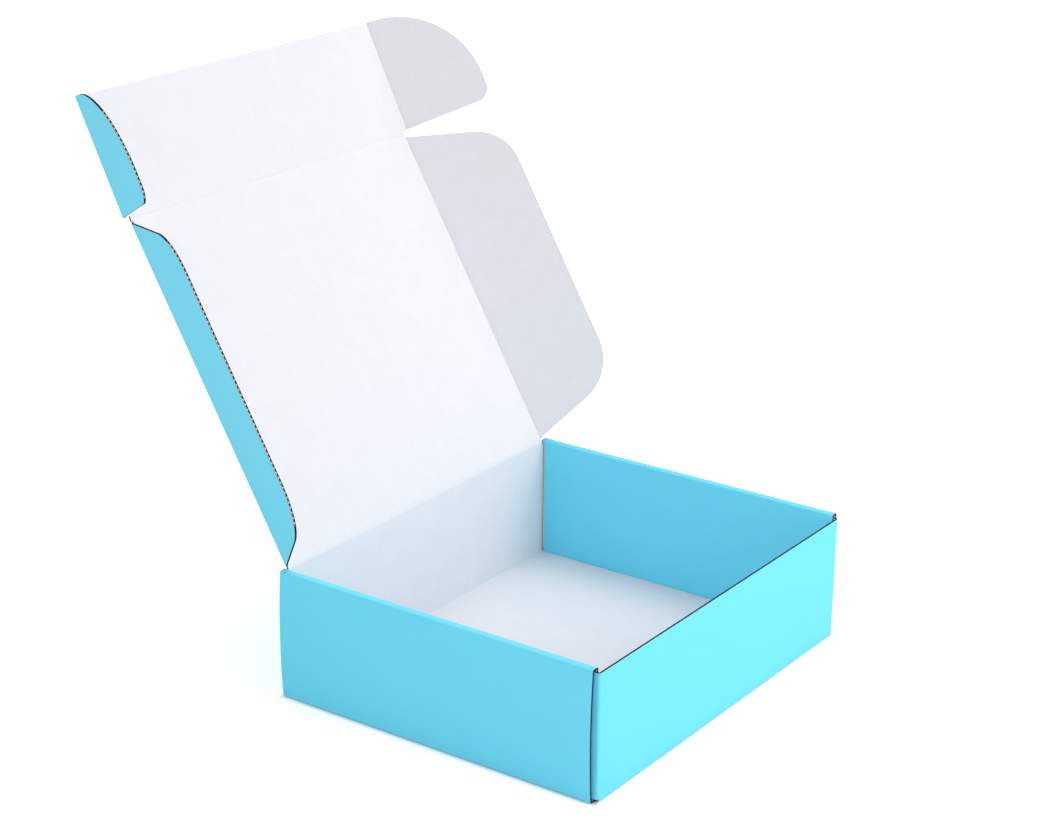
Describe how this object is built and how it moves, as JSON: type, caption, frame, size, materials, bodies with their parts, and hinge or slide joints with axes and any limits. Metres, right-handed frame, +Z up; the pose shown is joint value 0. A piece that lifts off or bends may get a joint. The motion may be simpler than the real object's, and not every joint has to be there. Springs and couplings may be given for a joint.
{
  "type": "corrugated mailer box",
  "caption": "Folding corrugated mailer box with roll-over side walls, a hinged lid with side ears and a tuck flap with locking ears, standing open.",
  "frame": {"origin": "centre of the tray's underside", "axes": "+X to the right and +Y to the back, seen from the front wall; +Z up, with the lid hinged on the back wall"},
  "size_m": [0.3874, 0.4386, 0.4108],
  "materials": {
    "tray_board": "matte light blue outer liner",
    "flap_board": "matte white inner liner"
  },
  "bodies": {
    "tray": {"tray": "tray_board"},
    "lid": {"lid": "flap_board"},
    "tuck": {"tuck_flap": "flap_board"},
    "lid_ear_right": {"lid_ear_right": "flap_board"},
    "lid_ear_left": {"lid_ear_left": "flap_board"},
    "tuck_ear_right": {"tuck_ear_right": "flap_board"},
    "tuck_ear_left": {"tuck_ear_left": "flap_board"}
  },
  "joints": [
    {"name": "lid_hinge", "type": "hinge", "parent": "tray", "child": "lid", "pos_m": [0, 0.13075, 0.09575], "axis": [1, 0, 0], "range_deg": [-59.31, 120.69]},
    {"name": "tuck_fold", "type": "hinge", "parent": "lid", "child": "tuck", "pos_m": [0, 0.26514, 0.32217], "axis": [1, 0, 0], "range_deg": [-24, 48]},
    {"name": "lid_ear_right_fold", "type": "hinge", "parent": "lid", "child": "lid_ear_right", "pos_m": [0.15345, 0.13075, 0.09575], "axis": [0, -0.5104, -0.8599], "range_deg": [-36, 72.5]},
    {"name": "lid_ear_left_fold", "type": "hinge", "parent": "lid", "child": "lid_ear_left", "pos_m": [-0.15345, 0.13075, 0.09575], "axis": [0, 0.5104, 0.8599], "range_deg": [-36, 72.5]},
    {"name": "tuck_ear_right_fold", "type": "hinge", "parent": "tuck", "child": "tuck_ear_right", "pos_m": [0.15865, 0.26514, 0.32217], "axis": [0, -0.4476, -0.8942], "range_deg": [-14.1, 28.6]},
    {"name": "tuck_ear_left_fold", "type": "hinge", "parent": "tuck", "child": "tuck_ear_left", "pos_m": [-0.15865, 0.26514, 0.32217], "axis": [0, 0.4476, 0.8942], "range_deg": [-14.1, 28.6]}
  ],
  "couplings": [
    {"joint": "lid_ear_right_fold", "follows": "lid_hinge", "ratio": 0.6},
    {"joint": "lid_ear_left_fold", "follows": "lid_hinge", "ratio": 0.6},
    {"joint": "tuck_ear_right_fold", "follows": "lid_hinge", "ratio": 0.2362},
    {"joint": "tuck_ear_left_fold", "follows": "lid_hinge", "ratio": 0.2362}
  ]
}
